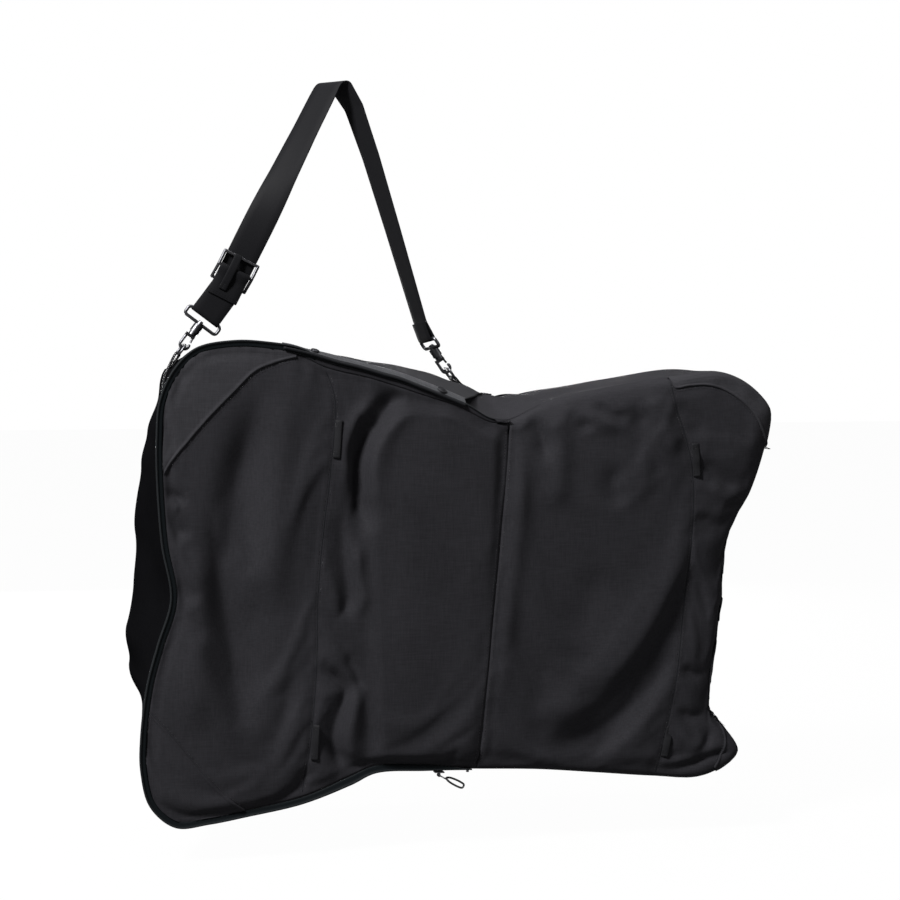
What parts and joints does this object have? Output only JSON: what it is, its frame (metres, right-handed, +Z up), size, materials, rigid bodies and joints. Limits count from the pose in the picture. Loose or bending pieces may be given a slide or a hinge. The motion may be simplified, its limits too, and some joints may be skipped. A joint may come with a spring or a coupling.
{
  "type": "garment bag",
  "caption": "Large padded travel bag with a zip-round front cover, a snap flap and a clip-on shoulder strap that it hangs from.",
  "frame": {"origin": "middle of the bend at the crest of the strap, on the bar or hook that the bag hangs from", "axes": "+X along the bag, from its deep end to the end with the narrow tail; +Y from the front cover to the back panel; +Z up"},
  "size_m": [0.8088, 0.3071, 0.9126],
  "materials": {
    "shell_fabric": "fine plain weave with a soft sheen",
    "gusset_fabric": "smooth woven",
    "flap_fabric": "fine plain weave",
    "binding_tape": "ribbed binding tape",
    "band_tape": "stiffened grey band",
    "webbing": "ribbed webbing",
    "zip_tape": "herringbone tape",
    "zip_coil": "moulded coil",
    "dark_metal": "gunmetal plated",
    "cap_metal": "gunmetal plated, polished",
    "cord": "braided cord"
  },
  "bodies": {
    "strap": {"strap_webbing": "webbing", "strap_lower_run": "webbing", "strap_hem_right": "webbing", "left_eye": "dark_metal", "right_eye": "dark_metal"},
    "adjuster": {"slider_frame": "dark_metal", "slider_hem": "webbing", "slider_pull_tab": "webbing"},
    "left_hook": {"left_hook": "dark_metal", "left_gate_pin": "dark_metal"},
    "right_hook": {"right_hook": "dark_metal", "right_gate_pin": "dark_metal"},
    "left_gate": {"left_gate": "dark_metal"},
    "right_gate": {"right_gate": "dark_metal"},
    "bag": {"back_panel": "gusset_fabric", "top_gusset": "gusset_fabric", "bottom_gusset": "gusset_fabric", "left_gusset": "gusset_fabric", "right_gusset": "gusset_fabric", "front_header": "shell_fabric", "front_panel_right": "shell_fabric", "front_panel_end": "shell_fabric", "corner_patch_top_right": "shell_fabric", "corner_patch_bottom_right": "shell_fabric", "rear_binding": "binding_tape", "zip_tape": "zip_tape", "zip_coil": "zip_coil", "zip_stop": "dark_metal", "anchor_tab_left": "webbing", "anchor_tab_right": "webbing", "seam_loops_right": "webbing", "snap_studs": "dark_metal"},
    "left_ring": {"left_ring": "dark_metal"},
    "right_ring": {"right_ring": "dark_metal"},
    "flap": {"flap_panel": "flap_fabric", "flap_band": "band_tape", "flap_edge_binding": "binding_tape", "snap_caps": "cap_metal"},
    "cover": {"cover_panel_left": "shell_fabric", "cover_panel_centre": "shell_fabric", "corner_patch_top_left": "shell_fabric", "corner_patch_bottom_left": "shell_fabric", "seam_loops_left": "webbing", "cover_zip_tape": "zip_tape"},
    "zip_slider": {"zip_slider": "dark_metal"},
    "zip_pull": {"zip_puller": "dark_metal", "pull_loop": "cord"}
  },
  "joints": [
    {"name": "adjuster_slide", "type": "slide", "parent": "strap", "child": "adjuster", "axis": [0.4532, 0, 0.8914], "range_m": [0, 0.05]},
    {"name": "left_hook_swivel", "type": "hinge", "parent": "strap", "child": "left_hook", "pos_m": [-0.1812, 0, -0.3176], "axis": [0.6, 0, 0.8], "range_deg": [-30, 30]},
    {"name": "right_hook_swivel", "type": "hinge", "parent": "strap", "child": "right_hook", "pos_m": [0.13592, 0, -0.34809], "axis": [0.56, 0, -0.8285], "range_deg": [-30, 30]},
    {"name": "left_gate_hinge", "type": "hinge", "parent": "left_hook", "child": "left_gate", "pos_m": [-0.18084, 0, -0.32312], "axis": [0, 1, 0], "range_deg": [0, 22], "stiffness_Nm_per_rad": 0.01, "springref_deg": -11.46},
    {"name": "right_gate_hinge", "type": "hinge", "parent": "right_hook", "child": "right_gate", "pos_m": [0.14125, 0, -0.34955], "axis": [0, 1, 0], "range_deg": [0, 22], "stiffness_Nm_per_rad": 0.01, "springref_deg": -11.46},
    {"name": "bag_swing", "type": "hinge", "parent": "strap", "child": "bag", "pos_m": [-0.192, 0, -0.332], "axis": [0.9958, 0, -0.0913], "range_deg": [-35, 35]},
    {"name": "left_ring_hinge", "type": "hinge", "parent": "bag", "child": "left_ring", "pos_m": [-0.2004, 0, -0.3432], "axis": [0, 1, 0], "range_deg": [0, 4]},
    {"name": "right_ring_hinge", "type": "hinge", "parent": "bag", "child": "right_ring", "pos_m": [0.15384, 0, -0.3746], "axis": [0, 1, 0], "range_deg": [-4, 0]},
    {"name": "flap_hinge", "type": "hinge", "parent": "bag", "child": "flap", "pos_m": [-0.05991, -0.028, -0.34051], "axis": [-0.9842, 0, 0.1768], "range_deg": [0, 75]},
    {"name": "cover_hinge", "type": "hinge", "parent": "bag", "child": "cover", "pos_m": [0.149, -0.15, -0.858], "axis": [0.099, 0, 0.9951], "range_deg": [0, 110]},
    {"name": "zip_slide", "type": "slide", "parent": "bag", "child": "zip_slider", "axis": [-0.9992, 0, 0.0405], "range_m": [0, 0.06]},
    {"name": "zip_pull_hinge", "type": "hinge", "parent": "zip_slider", "child": "zip_pull", "pos_m": [0.10079, -0.144, -0.86142], "axis": [0, 1, 0], "range_deg": [-20, 130]}
  ]
}
